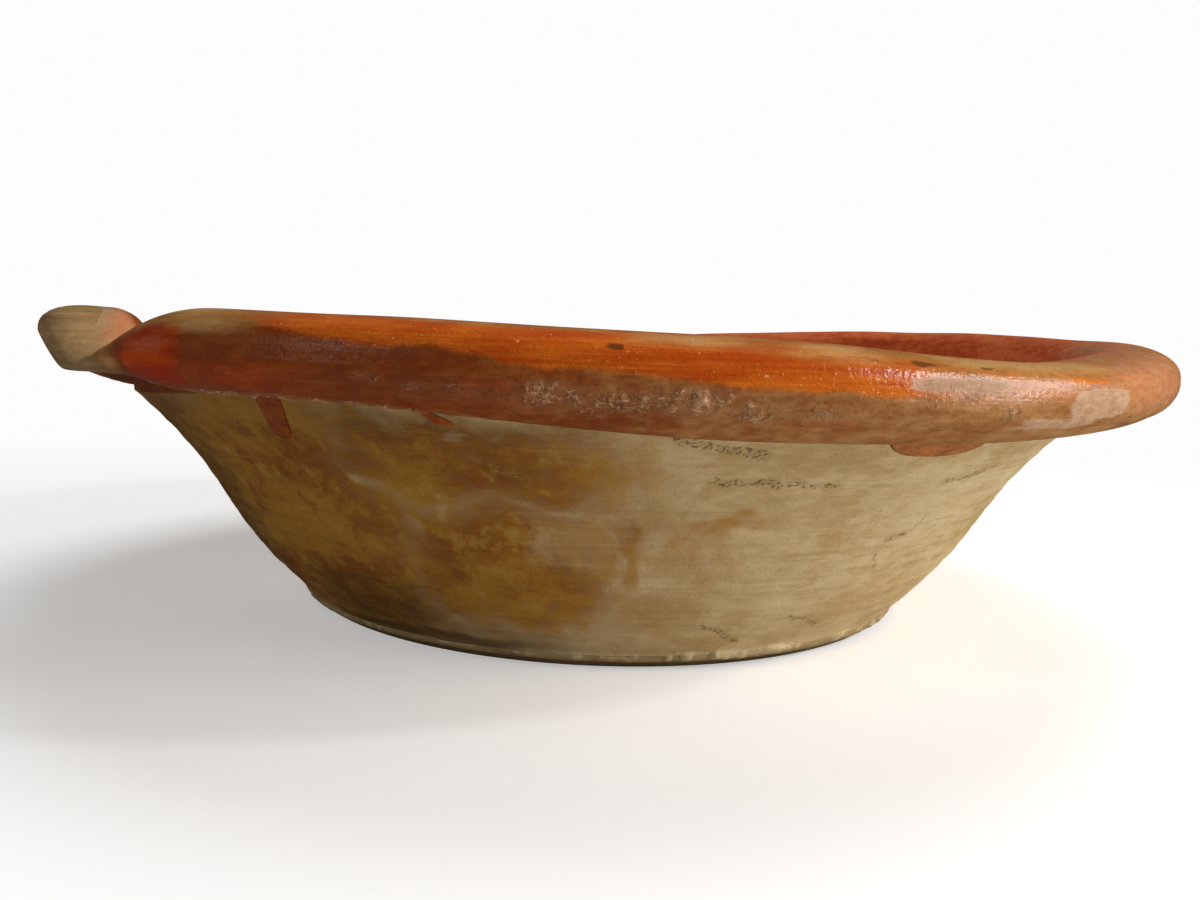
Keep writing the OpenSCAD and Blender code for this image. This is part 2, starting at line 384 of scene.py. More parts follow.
# stains and soils, partly painted shade on the side by the lip, and bloom: bearing from the lip, height,
# half width in degrees, half height, strength
stains_and_shade = [
    # this broad stain also paints the shade on the side by the lip
    (14, 45, 27, 50, 0.95),
    (46, 38, 13, 24, 0.85),
    (58.8, 51, 2.6, 9, 0.62),
    (59.4, 40, 1.4, 11, 0.55),
    (60, 50, 10, 14, 0.42),
    (45, 70, 17, 15, 0.8),
    (67, 48, 6, 16, 0.4),
    (71, 57, 6, 4, 0.5),
    (64, 23, 9, 8, 0.4),
    (78, 30, 14, 14, 0.22),
    (84, 64, 12, 9, 0.24),
    (70, 85, 13, 3, 0.55),
    (-50, 48, 30, 26, 0.6),
    (160, 58, 34, 20, 0.5),
    (250, 40, 30, 22, 0.6),
]
soils_and_shade = [
    # the soils out to about 50 degrees from the lip are partly painted shade
    (1, 50, 11, 50, 0.55),
    (27, 20, 13, 12, 0.65),
    (42, 13, 14, 6, 0.5),
    (50, 68, 2.6, 4, 0.45),
    (44, 81, 16, 6, 0.5),
    (32, 6, 22, 6, 0.9),
    (34, 86, 17, 4, 0.4),
    (200, 18, 60, 10, 0.5),
    (300, 76, 30, 8, 0.4),
]
blooms = [
    (53.5, 46, 3.6, 11, 0.6),
    (58, 74, 8, 8, 0.4),
    (45.6, 77.3, 1.2, 2.6, 0.6),
    (63.2, 49, 2.6, 6, 0.6),
    (35.3, 59, 1.7, 2.4, 0.6),
    (37, 49.5, 1.3, 3.4, 0.55),
    (42.5, 57, 1.3, 4, 0.5),
    (74, 66, 8, 5, 0.3),
    (98, 60, 20, 27, 0.6),
    (84, 32, 12, 17, 0.55),
    (8, 38, 5, 26, 0.35),
    (140, 36, 26, 26, 0.5),
    (290, 66, 36, 12, 0.6),
]
# pitted runs: bearing and height at both ends, half width
pit_lines = [
    (63.5, 82, 71, 79.5, 2.8),
    (67.4, 71, 79.7, 70.2, 2.2),
    (92.1, 38, 90.6, 44, 1.1),
    (90.6, 44, 91.4, 48.4, 1.1),
    (91.4, 48.4, 94.2, 50, 1.4),
    (94.2, 50, 95.8, 56, 1.3),
    (93.3, 69, 100.4, 72, 1.8),
    (71.3, 19, 77.5, 11, 2.2),
    (83.3, 21, 89.5, 14.5, 1.6),
    (48.4, 69.6, 51.3, 66.6, 1.6),
    (98.1, 75.8, 98.4, 75.9, 1.0),
    (62.0, 60.8, 62.3, 60.9, 0.9),
    (65.3, 59.4, 65.6, 59.4, 0.8),
    (51.8, 52.2, 52.1, 52.3, 1.0),
    (49.1, 31.2, 49.4, 31.0, 1.0),
    (190, 62, 215, 66, 2.0),
    (-62, 40, -50, 46, 1.8),
]


def blots(bearing, height, places):
    """Soft-edged patches: the highest of one flat-topped bell, in fourth powers, for each place listed."""
    total = np.zeros(np.broadcast(bearing, height).shape)
    for middle, z, wide, tall, strength in places:
        reach = (turned(bearing, middle) / wide) ** 4 + ((height - z) / tall) ** 4
        total = np.maximum(total, strength * np.exp(-reach))
    return total


def lines(bearing, height, radius, places):
    """1 along straight lines on the wall and 0 past their half widths, in level millimetres."""
    total = np.zeros(np.broadcast(bearing, height).shape)
    for b0, z0, b1, z1, wide in places:
        scale = np.radians(1) * radius
        x, y = turned(bearing, b0) * scale, height - z0
        dx, dy = (b1 - b0) * scale, z1 - z0
        share = np.clip((x * dx + y * dy) / (dx * dx + dy * dy), 0, 1)
        away = np.hypot(x - share * dx, y - share * dy) / wide
        total = np.maximum(total, 1 - ease((away - 0.4) / 0.6))
    return total


def wall_face(height):
    """The outer radius at a height: a straight flare plus one gentle S."""
    t = (height - edge_h) / (seat_z - edge_h)
    return base_r + (wall_top_r - base_r) * t + wall_swell * np.sin(2 * np.pi * t)


def cove(t):
    """The rounded corner inside: a parabola from the floor's edge to the wall, drawn to their knee."""
    top_r = wall_face(cove_top_z) - wall_t
    knee_r = top_r - (cove_top_z - floor_t) * (wall_top_r - base_r) / (seat_z - edge_h)
    edge_r = knee_r - np.hypot(top_r - knee_r, cove_top_z - floor_t)
    edge, knee, top = [edge_r, floor_t], [knee_r, floor_t], [top_r, cove_top_z]
    return (1 - t) ** 2 * edge + 2 * t * (1 - t) * knee + t**2 * top


wall_bearings = columns(681)[:-1]
outer_z = np.linspace(seat_z, edge_h, wall_rows)
inner_z = np.linspace(cove_top_z, seat_z, 9)
land_r = np.linspace(wall_top_r - wall_t, wall_top_r, 4)[1:-1]
wall_path = np.concatenate(
    [
        np.stack([wall_face(outer_z), outer_z], -1),
        np.linspace([base_r, edge_h], [floor_edge_r, floor_t], 4)[1:],
        cove(np.linspace(0, 1, 7)[1:-1, None]),
        np.stack([wall_face(inner_z) - wall_t, inner_z], -1),
        np.stack([land_r, np.full(2, seat_z)], -1),
    ]
)
wall_radius, wall_height = wall_path[:, :1], wall_path[:, 1:]
outside = (np.arange(len(wall_path)) < wall_rows)[:, None]
wall_place = level(wall_radius, wall_bearings, wall_height)
# throwing rings climb one pitch in a turn and fade in and out, the clay swells and fine lines score it,
# and all of these die out just above the foot
ring_pitch = 6.5
ring_h = 0.16
score_depth = 0.3
broad_swell = 0.5
close_swell = 0.22
smooth_foot = 8.0
rings = np.sin(2 * np.pi * (wall_height / ring_pitch + wall_bearings / 360))
swells = broad_swell * grain(wall_place, 34.0, 11)
swells = swells + close_swell * grain(wall_place * [1, 1, 3.0], 12.0, 12)
scored = np.maximum(0, grain(wall_place * [0.12, 0.12, 1.0], 1.6, 14) - 0.25)
thrown = ring_h * rings * (1 + grain(wall_place, 50.0, 13)) + swells - score_depth * scored
off_foot = ease((wall_height - edge_h) / smooth_foot)
wall_out = outside * (burr(wall_bearings, wall_height) + off_foot * thrown)
# the burr is paler than the wall from one thickness to another, but not near the lip, where grime and
# painted shade leave it dark
burr_thin = 0.2
burr_thick = 0.8
grime_and_shade = blots(wall_bearings, 0, [(25, 0, 26, 1, 0.9)])
# the patches' edges wander by noises of two sizes
wander_b = wall_bearings + 2.4 * grain(wall_place, 16.0, 15) + 1.0 * grain(wall_place, 6.0, 16)
wander_z = wall_height + 5.0 * grain(wall_place, 18.0, 17) + 2.0 * grain(wall_place, 6.0, 18)
ragged_b = wall_bearings + 0.5 * grain(wall_place, 5.0, 19)
ragged_z = wall_height + 1.2 * grain(wall_place, 5.0, 20)
burr_share = (burr(wall_bearings, wall_height) - burr_thin) / (burr_thick - burr_thin)
wall_marks = {
    "stain_and_shade": blots(wander_b, wander_z, stains_and_shade),
    "soil_and_shade": blots(wander_b, wander_z, soils_and_shade),
    "bloom": blots(wander_b, wander_z, blooms),
    "pitted": lines(ragged_b, ragged_z, wall_radius, pit_lines),
    "burred": outside * ease(burr_share) * (1 - grime_and_shade),
}
wall = skin(
    "flared_wall_thrown",
    settle(wall_radius + wall_out, wall_bearings, wall_height),
    wall_marks,
    clay_finish,
)
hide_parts("flared_wall")
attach(wall, "root")


# Rim collar
# The heavy band folded out from the wall's top edge and rolled round. Its clay shows under the glaze's
# ragged hem, stained by a thin brown wash, with crusty lumps where the glaze bubbled and crawled.

roll_w = 15.0
roll_drop = 15.0
roll_r = rim_r - roll_w
roll_start = 148.0
roll_end = -112.0
crown_power = 2 / 2.4
drop_power = 2 / 1.8
throat_angle = 11.5
throat_depth = 4.0
throat_dip = 0.5
throat_in = 11.5
throat_out = 16.5
lip_rise = 4.5
lip_lift = 12.0
channel_depth = 1.5
channel_angle = 4.5
# the hand's unevenness, out and up
uneven_out = 0.7
uneven_up = 0.5
lip_half = throat_angle + throat_out
inner_rows = 60
roll_rows = 400
outer_rows = 40
collar_columns = 1001
lip_columns = 421


def roll_point(angle):
    """The roll's section at an angle from its widest ring: two rounded ovals that share that ring."""
    c, s = np.cos(np.radians(angle)), np.sin(np.radians(angle))
    power = np.where(angle > 0, crown_power, drop_power)
    tall = np.where(angle > 0, crown_h, roll_drop)
    out, up = np.sign(c) * abs(c) ** power, np.sign(s) * abs(s) ** power
    return np.stack([roll_r + roll_w * out, roll_z + tall * up], -1)


seat_inner = np.array([wall_top_r - wall_t, seat_z])
seat_outer = np.array([wall_top_r, seat_z])
roll_angles = np.linspace(roll_start, roll_end, roll_rows)
rim_path = np.concatenate(
    [
        np.linspace(seat_inner, roll_point(roll_angles)[0], inner_rows)[:-1],
        roll_point(roll_angles),
        np.linspace(roll_point(roll_angles)[-1], seat_outer, outer_rows)[1:],
    ]
)
rim_legs = np.gradient(rim_path, axis=0)
rim_normals = np.stack([-rim_legs[:, 1], rim_legs[:, 0]], -1) / np.hypot(*rim_legs.T)[:, None]
# a station is the length along the section from the inner seat, over the crown, to the outer seat
rim_stations = np.concatenate([[0], np.cumsum(np.hypot(*np.diff(rim_path, axis=0).T))])
angle_stations = rim_stations[inner_rows - 1 :][:roll_rows]


def station_at(angle):
    """The station of an angle on the roll."""
    return np.interp(-angle, -roll_angles, angle_stations)


def angle_at(station):
    """The roll's angle at a station; the inner slope counts on past the roll's start."""
    return np.interp(station, angle_stations, roll_angles) + np.maximum(0, angle_stations[0] - station)


def pinch(radius, height, bearing):
    """The section of the rim pressed in by two fingers, and drawn up in a tongue between them.

    A throat moves the roll in and squashes it, with its raised underside, towards its seat; the tongue
    rises, and a shallow channel lowers the middle of its crest.
    """
    off = abs(turned(bearing, 0)) - throat_angle
    throat = swell(np.where(off < 0, off / throat_in, off / throat_out))
    tongue = ease(-off / throat_in)
    drawn = ease(1 - off / throat_out)
    channel = swell(turned(bearing, 0) / channel_angle)
    give = ease((height - seat_z) / (roll_z - seat_z))
    crest = np.maximum(0, (height - roll_z) / crown_h)
    under = np.where(radius > wall_top_r, np.maximum(0, (roll_z - height) / roll_drop), 0)
    squashed = seat_z + (height - seat_z + lip_lift * drawn * under) * (1 - throat_dip * throat)
    raised = lip_rise * tongue * give - channel_depth * channel * crest
    return radius - throat_depth * throat * give, squashed + raised


crust_h = 0.05
curl_h = 0.85
bead_h = 0.6
# crusts: bearing, roll angle, half width and half height in degrees, strength
crusts = [
    (43.8, -19, 1.1, 6, 0.5),
    (46.8, -25, 1.1, 9, 0.4),
    (49.9, -27, 1.2, 11, 0.5),
    (54.4, -22, 2.2, 13, 0.8),
    (58.5, -29, 2.2, 11, 0.8),
    (61.8, -23, 2.6, 17, 1.0),
    (64.1, -17, 1.4, 10, 1.0),
    (68.0, -33, 1.6, 6, 0.8),
    (58, -30, 10, 15, 0.5),
    (66, -30, 8, 12, 0.55),
    (29, -74, 22, 10, 1.0),
    (84.8, -26, 1.0, 8, 0.9),
    (150, -30, 10, 18, 0.6),
    (214, -26, 8, 16, 0.7),
    (288, -34, 9, 16, 0.6),
]


def crusted(station, bearing):
    """How far a place on the rim is crusted over, with ragged edges, and the place for other noise."""
    radius = np.interp(station, rim_stations, rim_path[:, 0])
    height = np.interp(station, rim_stations, rim_path[:, 1])
    place = level(radius, bearing, height)
    ragged_b = bearing + 0.6 * grain(place, 5.0, 24)
    ragged_a = angle_at(station) + 4 * grain(place, 5.0, 25)
    return blots(ragged_b, ragged_a, crusts), place


def crust_height(station, bearing):
    """Lumps in millimetres: ridges where a noise crosses zero, and beads, inside the crusted places."""
    where, place = crusted(station, bearing)
    curls = np.maximum(0, 1 - abs(grain(place, 3.0, 21)) * 4.5) * ease(0.5 + grain(place, 5.0, 22))
    beads = np.maximum(0, grain(place, 1.9, 23) - 0.1)
    return where * (crust_h + curl_h * curls + bead_h * beads)


def rim_surface(station, bearing, lift):
    """Points of the rim at a station and bearing, lifted off the clay by so many millimetres."""
    section = [np.interp(station, rim_stations, column) for column in (*rim_path.T, *rim_normals.T)]
    radius, height = pinch(section[0] + lift * section[2], section[1] + lift * section[3], bearing)
    place = level(section[0], bearing, section[1])
    loose = ease((section[1] - seat_z) / (roll_z - seat_z))
    radius = radius + loose * uneven_out * grain(place, 45.0, 31)
    height = height + loose * uneven_up * grain(place, 38.0, 32)
    return settle(radius, bearing, height)


def wash_tones(place):
    """The collar's lower tones: a thin brown wash, redder by the lip and paler away from it, and crusts."""
    pale, crusty, lumpy = place.mark("pale"), place.mark("crusty"), place.mark("lumpy")
    cloud = place.noise(24, 10, 4, 0.6)
    mottle = place.noise(5, 2.2, 4, 0.65)
    streak = place.noise(45, 1.4, 3, 0.7)
    speck = place.noise(0.9, 0.9, 2)
    blend = (cloud * 0.5 + mottle * 0.5).step(0.36, 0.64)
    dark = blend.tint(paint("80340A"), paint("944810"))
    light = blend.tint(paint("985E2A"), paint("B4824C"))
    colour = (pale + (mottle - 0.5) * 0.6 + (cloud - 0.5) * 0.4).step(0.1, 0.9).tint(dark, light)
    colour = (streak.step(0.52, 0.74) * 0.35).tint(colour, paint("A8723A"))
    colour = ((1 - streak.step(0.26, 0.44)) * 0.3).tint(colour, paint("6E3A1C"))
    wisp = place.noise(1.9, 1.5, 3, 0.6) - 0.5
    strand = (1 - (wisp * wisp).step(0.0004, 0.004)) * place.noise(4.5, 3.5, 2).step(0.4, 0.58)
    crust = (strand * crusty + lumpy * 0.8 + (speck - 0.5) * 0.3).step(0.2, 0.8)
    colour = (crusty * 0.3).tint(colour, paint("A0744A"))
    colour = (crust * 0.6).tint(colour, paint("D0A478"))
    colour = (speck.step(0.62, 0.74) * 0.45).tint(colour, paint("55301A"))
    return colour, crust, mottle, streak, speck


def rim_clay(name):
    """The rim's clay: bare and streaked on the lip, washed brown on the collar, with pale crusts."""
    material, shader, place = finish(name)
    washed, curl, mottle, streak, speck = wash_tones(place)
    cloud = place.noise(20, 9, 3, 0.6)
    bare = (streak * 0.55 + cloud * 0.45).step(0.26, 0.74).tint(paint("7E603A"), paint("AC8C60"))
    bare = (mottle.step(0.58, 0.72) * 0.35).tint(bare, paint("C9B598"))
    colour = (place.mark("wash") + (mottle - 0.5) * 0.5).step(0.3, 0.7).tint(bare, washed)
    rough = 0.52 + (mottle - 0.5) * 0.3
    normal = curl.bump(0.45, speck.bump(0.12, streak.bump(0.12, mottle.bump(0.3))))
    shader.inputs["Specular IOR Level"].default_value = 0.12
    for socket, value in {"Base Color": colour, "Roughness": rough, "Normal": normal}.items():
        place.feed(shader.inputs[socket], value)
    return material


# bearings from the lip: where the wash starts and is full, and where it starts to pale and is palest
wash_from, wash_full = 17.0, 21.0
pallor_from, pallor_full = 34.0, 90.0
# under the roll the wash goes all round: it starts and is full at these angles below the widest ring
under_from, under_full = 62.0, 82.0


def between(value, low, high):
    """An ease from 0 at low to 1 at high."""
    return ease((value - low) / (high - low))


def pallor(bearing):
    """How pale the collar's wash is: 0 beside the lip, 1 from the front round to the far side."""
    return between(abs(turned(bearing, 0)), pallor_from, pallor_full)


rim_clay_finish = rim_clay("rim_clay")
# the mesh's rows lie closer on the outer face than over the crown
face_start = station_at(30)
clay_stations = np.concatenate(
    [np.linspace(0, face_start, 22)[:-1], np.linspace(face_start, rim_stations[-1], 56)]
)[:, None]


def clay_rim(name, first, last, count):
    """A stretch of the rim's clay from one bearing to another: the section's path closed along its seat."""
    bearing = columns(count, first, last)
    lift = crust_height(clay_stations, bearing)
    land = np.linspace(seat_outer, seat_inner, 5)[1:-1]
    seat = settle(land[:, :1], bearing, land[:, 1:])
    grid = np.concatenate([rim_surface(clay_stations, bearing, lift), seat])
    hidden = np.zeros(seat.shape[:2])
    washed = between(abs(turned(bearing, 0)), wash_from, wash_full)
    beneath = between(-angle_at(clay_stations), under_from, under_full)
    marks = {
        "wash": np.concatenate([np.maximum(washed, beneath), hidden + 1]),
        "pale": np.broadcast_to(pallor(bearing), grid.shape[:2]),
        "crusty": np.concatenate([crusted(clay_stations, bearing)[0], hidden]),
        "lumpy": np.concatenate([np.clip(lift, 0, 1), hidden]),
    }
    return skin(name, grid, marks, rim_clay_finish, ring=False)


collar = clay_rim("rim_collar_rolled", lip_half, 360 - lip_half, collar_columns)
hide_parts("rim_collar")
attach(collar, "root")


# Pouring lip
# The stretch of the same rim left standing between two finger-pressed throats, with a shallow channel
# across it, over which the whey was poured off. Its outer end was wiped bare of glaze.

lip = clay_rim("pouring_lip_pinched", -lip_half, lip_half, lip_columns)
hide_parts("pouring_lip")
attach(lip, "root")


# Inside glaze
# The lead glaze poured round the inside to make it hold whey: terracotta over the clay, glossy, worn
# duller on the floor, with the spiral of the throwing rings showing through it.

glaze_t = 0.6
inside_pole_r = 1.5
inside_ring_pitch = 9.0
inside_ring_h = 0.22
# the rings grow over this length from the middle, and die out over this length below the rim
ring_growth = 30.0
ring_decay = 10.0
worn_reach = 70.0
# scoured paler, and near the rim on the right a painted sheen: bearing from the lip, height, half width in
# degrees, half height, strength
scours_and_sheen = [(120, 90, 18, 22, 0.9), (230, 40, 30, 18, 0.45)]


def inside_finish(name):
    """Terracotta glaze: cloudy colour, dark pinholes, a satin gloss; paler and duller with wear, and where
    a sheen is painted.
    """
    material, shader, place = finish(name)
    wear_and_sheen = place.mark("wear_and_sheen")
    cloud = place.noise(45, 30, 4, 0.6)
    mottle = place.noise(7, 5, 4, 0.6)
    speck = place.noise(1.0, 1.0, 1)
    colour = (cloud * 0.6 + mottle * 0.4).step(0.36, 0.64).tint(paint("D46A34"), paint("E68C54"))
    # paler with wear, and paler as painted sheen near the rim on the right
    colour = ((wear_and_sheen + (mottle - 0.5) * 0.7).step(0.3, 0.9) * 0.6).tint(colour, paint("C58A5E"))
    colour = (speck.step(0.67, 0.74) * 0.6).tint(colour, paint("54240E"))
    rough = 0.42 + wear_and_sheen * 0.1 + (mottle - 0.5) * 0.16
    normal = place.noise(2.2, 2.2, 2).bump(0.1, mottle.bump(0.25))
    for socket, value in {"Base Color": colour, "Roughness": rough, "Normal": normal}.items():
        place.feed(shader.inputs[socket], value)
    return material


inside_bearings = columns(561)[:-1]
cove_path = cove(np.linspace(0, 1, 20)[:, None])
up_z = np.linspace(cove_top_z, seat_z, 46)[1:]
inside_path = np.concatenate(
    [
        np.stack([np.linspace(inside_pole_r, cove_path[0, 0], 34)[:-1], np.full(33, floor_t)], -1),
        cove_path,
        np.stack([wall_face(up_z) - wall_t, up_z], -1),
    ]
)
inside_legs = np.gradient(inside_path, axis=0)
inside_normal = np.stack([-inside_legs[:, 1], inside_legs[:, 0]], -1) / np.hypot(*inside_legs.T)[:, None]
inside_length = np.concatenate([[0], np.cumsum(np.hypot(*np.diff(inside_path, axis=0).T))])[:, None]
spiral = np.sin(2 * np.pi * (inside_length / inside_ring_pitch - inside_bearings / 360))
inside_lift = inside_ring_h * spiral * ease(inside_length / ring_growth)
inside_lift = glaze_t + inside_lift * ease((inside_length[-1] - inside_length) / ring_decay)
inside_top = settle(
    inside_path[:, :1] + inside_lift * inside_normal[:, :1],
    inside_bearings,
    np.minimum(inside_path[:, 1:] + inside_lift * inside_normal[:, 1:], seat_z),
)
inside_back = settle(inside_path[::-6, :1], inside_bearings, inside_path[::-6, 1:])
inside_wear_and_sheen = np.exp(-((inside_length / worn_reach) ** 2))
inside_wear_and_sheen = inside_wear_and_sheen + blots(inside_bearings, inside_path[:, 1:], scours_and_sheen)
inside_wear_and_sheen = np.concatenate([inside_wear_and_sheen, np.zeros(inside_back.shape[:2])])
inside = skin(
    "inside_glaze_coat",
    np.concatenate([inside_top, inside_back]),
    {"wear_and_sheen": inside_wear_and_sheen},
    inside_finish("terracotta_glaze"),
    closed=False,
)
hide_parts("inside_glaze")
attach(inside, "root")


# Collar glaze
# The orange lead glaze that went over the rim: a glassy coat that ends in a ragged hem on the collar's
# outer face, pooled dark red beside the lip, tinted ochre along the crown and rubbed dull in patches.

hem_taper = 6.0
# at its hem the coat runs out into the clay, this far under its face
hem_sink = 0.12
# where the glaze pooled, the coat is thicker by this share
pool_swell = 0.8
border_soft = 20.0
# the bright band loses this share between two bearings, and stays so from there on
band_lost = 0.6
band_whole, band_worn = 74.0, 80.0
# the coat was wiped thin beside the lip's bare end: to this bearing, and this far from the hem
wipe_angle = 24.0
wipe_reach = 12.0
# above a roll angle, lower round the far side, it is terracotta as the inside is, but not on the lip
inner_angle = 104.0
inner_lower = 30.0
inner_soft = 22.0
inner_near, inner_far = 84.0, 110.0
lip_orange, lip_inner = 18.0, 32.0
# hem: bearing from the lip and the roll angle at which the coat ends
hem = {0: 95, 3.5: 86, 6.5: 75, 10: 62, 13: 42, 16: 15, 18: -9, 19.5: -55, 22: -75, 34: -75}
hem |= {44: -58, 60: -46, 80: -52, 105: -60, 130: -48, 160: -36, 200: -52, 230: -38, 260: -56}
hem |= {300: -44, 326: -66, 338: -75, 340.5: -55, 342: -9, 344: 15, 347: 42, 350: 62}
hem |= {353.5: 75, 356.5: 86, 360: 95}
# the lower border of the bright band, in the same terms
border = {0: 200, 27: 120, 32: 64, 36: 36, 39.6: 24, 44.3: 13.6, 47.4: 18, 50.4: 16, 51.7: 5}
border |= {58.7: 3.8, 62.4: -1, 66.2: -5, 73: -7.5, 80: -12, 100: -16, 130: -8, 170: -20}
border |= {200: -4, 240: -16, 280: 0, 320: -10, 326: 25, 330: 120, 360: 200}
# places on the coat, of dark pools, dull rubs, pale veils that are partly painted sheen, bright patches
# with one painted highlight, smudges and ochre tints: bearing, roll angle, half width and half height in
# degrees, strength
pools = [
    (26.3, -14, 3.8, 48, 1.0),
    (51.2, -33, 2.2, 26, 0.4),
    (34, -40, 7, 40, 0.45),
    (71.5, -42, 3.6, 10, 0.5),
    (-26, -10, 7, 60, 0.9),
    (-36, -30, 10, 40, 0.5),
]
rubs = [
    (80.1, 6, 4.4, 9, 1.0),
    (94.2, -15, 3.8, 19, 1.0),
    (90, -38, 6, 10, 0.6),
    (240, 10, 12, 16, 0.7),
    (160, 0, 6, 14, 0.7),
]
# on the lip these veils are its channel's pale pinkish glaze; the rest are painted sheen on the right and
# its inner slope
sheens_and_pale_glaze = [
    (5, 100, 8, 30, 0.9),
    (-5, 100, 8, 30, 0.8),
    (87.5, 5, 3.6, 22, 0.75),
    (105, 24, 10, 64, 0.85),
    (99, 6, 4, 22, 0.4),
    (82, -14, 6, 8, 0.5),
    (112, 92, 16, 16, 0.8),
    (126, 125, 16, 40, 0.7),
]
# bright orange patches, and one painted highlight
brights_and_highlight = [
    (73.5, 10, 2.8, 14, 1.0),
    # a painted highlight: bright band colour and glints where a lamp's reflection falls
    (82.6, -6, 3.6, 6, 0.35),
    (92, 18, 3.4, 7, 0.8),
    (98.5, 24, 2.4, 7, 0.7),
]
smudges = [
    (57.9, 34, 0.9, 7, 1.0),
    (77.5, 37, 1.0, 7, 0.9),
    (83, 38, 0.9, 4, 0.9),
    (72.4, 38, 2.8, 4, 0.6),
    (75.5, 33, 1.8, 3, 0.5),
    (34.0, 36, 1.2, 8, 0.5),
    (51.2, -33, 1.8, 24, 0.5),
    (200, 44, 2, 8, 0.8),
    (262, 60, 1.5, 8, 0.7),
]
ochres = [
    (18.4, 0, 3.7, 70, 0.7),
    (-18.4, 0, 3.7, 70, 0.9),
    (11.5, 60, 3.4, 60, 0.75),
    (-11.5, 60, 3.4, 60, 0.75),
    (28, 52, 9, 34, 1.0),
    (52, 76, 10, 20, 0.75),
    (66, 62, 9, 30, 0.7),
    (82, 66, 16, 32, 1.0),
    (72, 36, 8, 14, 0.6),
    (200, 60, 60, 16, 0.5),
    (300, 76, 30, 24, 0.6),
]


def listed(bearing, points):
    """The value at a bearing between the listed ones."""
    return np.interp(bearing % 360, list(points), list(points.values()))


def hem_station(bearing):
    """The station of the coat's ragged hem: the listed angles, with tongues of two sizes."""
    place = level(rim_r, bearing, 0.0)
    ragged = 5 * grain(place, 16.0, 41) + 3.5 * grain(place, 5.0, 42)
    return station_at(listed(bearing, hem) + ragged)


def orange_finish(name):
    """Orange glaze: a bright glassy band over a brown wash, red pools, ochre, pale glaze and painted sheen,
    painted glints, rubbed patches.
    """
    material, shader, place = finish(name)
    band, pool, rub, sheen_and_pale_glaze = place.mark("band"), place.mark("pool"), place.mark("rub"), place.mark("sheen_and_pale_glaze")
    ochre, smudge = place.mark("ochre"), place.mark("smudge")
    washed, curl, mottle, streak, speck = wash_tones(place)
    cloud = place.noise(30, 7, 4, 0.6)
    glow = (cloud * 0.55 + streak * 0.45).step(0.38, 0.62).tint(paint("B8480E"), paint("D66E1C"))
    glow = (place.mark("pale").step(0.8, 1.0) * 0.5).tint(glow, paint("E08C30"))
    lit = (band + (mottle - 0.5) * 0.7 + (speck - 0.5) * 0.6).step(0.2, 0.8)
    colour = lit.tint(washed, glow)
    tanned = (ochre + (streak - 0.5) * 0.7 + (cloud - 0.5) * 0.6).step(0.25, 0.9) * 0.8
    terracotta = (cloud * 0.5 + mottle * 0.5).step(0.38, 0.62).tint(paint("B04A1E"), paint("D06C3A"))
    colour = (place.mark("inner") + (mottle - 0.5) * 0.4).step(0.25, 0.9).tint(colour, terracotta)
    colour = tanned.tint(colour, cloud.step(0.4, 0.6).tint(paint("A47034"), paint("C0945A")))
    pooled = (pool + (mottle - 0.5) * 0.4 + (cloud - 0.5) * 0.5).step(0.15, 0.9) * 0.92
    colour = pooled.tint(colour, cloud.step(0.4, 0.6).tint(paint("A02A02"), paint("BC4406")))
    # pale haze: pale glaze on the lip, and painted sheen elsewhere
    sheen_and_pale_share = (sheen_and_pale_glaze + (mottle - 0.5) * 0.5 + (cloud - 0.5) * 0.4).step(0.2, 0.9) * 0.75
    colour = sheen_and_pale_share.tint(colour, mottle.step(0.3, 0.7).tint(paint("C67E50"), paint("CC8F64")))
    dulled = (rub + (mottle - 0.5) * 0.5 + (streak - 0.5) * 0.3).step(0.35, 0.72)
    colour = (dulled * 0.9).tint(colour, mottle.step(0.35, 0.65).tint(paint("AE7E58"), paint("C29A78")))
    rimmed = dulled * (1 - dulled) * 4
    colour = (rimmed * 0.2).tint(colour, paint("DCC0A2"))
    colour = (place.mark("wiped") + (mottle - 0.5) * 0.9).step(0.2, 1.1).tint(colour, paint("A88C66"))
    colour = ((smudge + (mottle - 0.5) * 0.6).step(0.35, 0.85) * 0.75).tint(colour, paint("4A2C12"))
    colour = (speck.step(0.63, 0.74) * 0.4).tint(colour, paint("6A300F"))
    # painted glints: pale specks in the bright band that stand for highlights
    painted_glint = place.noise(1.0, 1.0, 1).step(0.7, 0.77) * lit
    colour = (painted_glint * 0.6).tint(colour, paint("EDB878"))
    matte = (1 - lit) * (1 - pooled) * (1 - sheen_and_pale_share)
    rough = 0.17 + matte * 0.16 + dulled * 0.32 + tanned * 0.1 + (mottle - 0.5) * 0.14
    peel = place.noise(1.3, 1.3, 2)
    bead = (1 - place.cells(2.0).step(0.05, 0.25)) * (1 - pooled)
    shader.inputs["Specular IOR Level"].default_value = 0.3
    normal = bead.bump(0.06, curl.bump(0.4, peel.bump(0.14, streak.bump(0.14, mottle.bump(0.22)))))
    for socket, value in {"Base Color": colour, "Roughness": rough, "Normal": normal}.items():
        place.feed(shader.inputs[socket], value)
    return material


orange_glaze = orange_finish("orange_glaze")
coat_shares = np.concatenate(
    [np.linspace(0, 0.3, 14)[:-1], np.linspace(0.3, 0.96, 54)[:-1], np.linspace(0.96, 1, 6)]
)[:, None]


